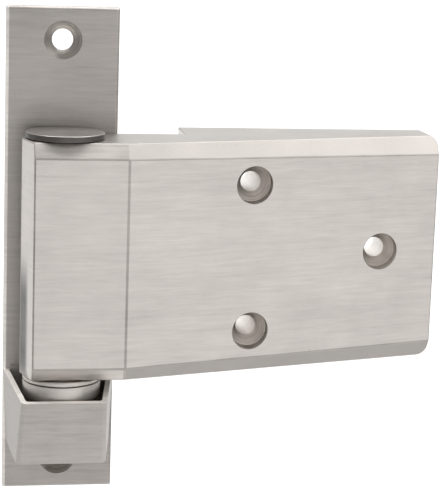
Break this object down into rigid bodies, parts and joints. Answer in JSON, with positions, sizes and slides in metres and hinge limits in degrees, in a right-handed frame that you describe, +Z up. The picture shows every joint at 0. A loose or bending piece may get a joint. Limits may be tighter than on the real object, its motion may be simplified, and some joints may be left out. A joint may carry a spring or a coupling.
{
  "type": "cam-rise door hinge",
  "caption": "Self-closing cam-rise hinge: slim frame flange with a pocket for the cam, and a wedge-shaped door strap that swings on a vertical pin and climbs as it opens.",
  "frame": {"origin": "centre of the flange's back face, which lies against the door frame", "axes": "+X from the pin towards the free end of the strap; +Y out of the flange's back face into the door frame; +Z up, along the pin"},
  "size_m": [0.1521, 0.0491, 0.168],
  "materials": {
    "satin_nickel": "zinc casting, brushed along its length and plated in satin nickel",
    "cam_metal": "turned metal, dull",
    "bright_steel": "ground steel, bright",
    "bearing_bronze": "sintered bearing bronze, dull",
    "seal_rubber": "black rubber"
  },
  "bodies": {
    "frame": {"frame_flange": "satin_nickel", "lower_cam": "cam_metal", "lower_cam_dowel_left": "bright_steel", "lower_cam_dowel_right": "bright_steel"},
    "pin_carriage": {"hinge_pin": "bright_steel", "torsion_spring": "bright_steel", "spring_anchor": "bright_steel", "anchor_roll_pin": "bright_steel", "thrust_washer": "bright_steel", "clip_washer": "bright_steel", "retaining_clip": "bright_steel"},
    "strap": {"door_strap": "satin_nickel", "upper_cam": "cam_metal", "upper_cam_dowel_left": "bright_steel", "upper_cam_dowel_right": "bright_steel", "lower_bushing": "bearing_bronze", "spring_collar": "bearing_bronze", "upper_bushing": "bearing_bronze", "top_cap": "satin_nickel", "cap_seal": "seal_rubber"}
  },
  "joints": [
    {"name": "cam_rise", "type": "slide", "parent": "frame", "child": "pin_carriage", "axis": [0, 0, 1], "range_m": [0, 0.00423]},
    {"name": "door_swing", "type": "hinge", "parent": "pin_carriage", "child": "strap", "pos_m": [0, -0.019, 0], "axis": [0, 0, -1], "range_deg": [0, 95], "deforming": ["torsion_spring"]}
  ],
  "couplings": [
    {"joint": "cam_rise", "follows": "door_swing", "m_per_rad": 0.0025465}
  ]
}
